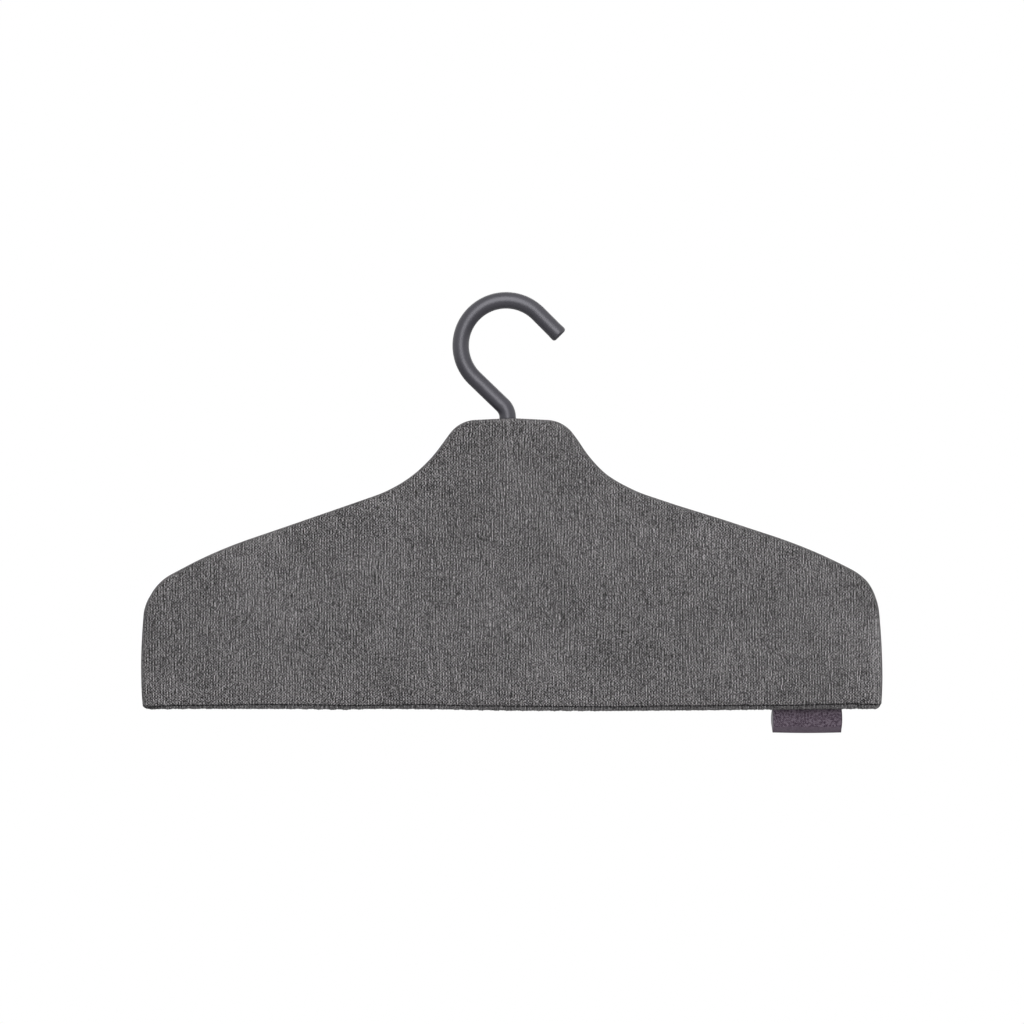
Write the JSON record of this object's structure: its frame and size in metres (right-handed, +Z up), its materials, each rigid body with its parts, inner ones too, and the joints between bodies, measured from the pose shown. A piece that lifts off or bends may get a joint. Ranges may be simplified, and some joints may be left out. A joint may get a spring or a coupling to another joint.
{
  "type": "steaming hanger",
  "caption": "Flat clothes hanger with a padded, cloth-covered board to steam a garment against, hung from a swivelling open hook.",
  "frame": {"origin": "the inner top of the hook's crook, where it rests on a rail; the board hangs below it", "axes": "+Z up as the hanger hangs, +X along the board towards the hook's open side, -Y out of the front face"},
  "size_m": [0.4447, 0.0168, 0.2645],
  "materials": {
    "coated_steel": "satin dark grey powder coat",
    "bare_steel": "zinc plated",
    "nylon": "natural",
    "core_plastic": "moulded, matt",
    "felt": "pressed felt",
    "cloth": "heathered grey plain weave",
    "label_tape": "woven tape"
  },
  "bodies": {
    "hook": {"hook": "coated_steel", "lower_washer": "bare_steel", "lock_nut": "bare_steel"},
    "board": {"upper_washer": "nylon", "core": "core_plastic", "back_plate": "core_plastic", "front_pad": "felt", "back_pad": "felt", "cover_front": "cloth", "cover_back": "cloth", "closure_flap": "cloth", "label": "label_tape"}
  },
  "joints": [
    {"name": "hook_swivel", "type": "hinge", "parent": "hook", "child": "board", "pos_m": [0.001, 0, -0.0687], "axis": [0, 0, 1], "continuous": true}
  ]
}
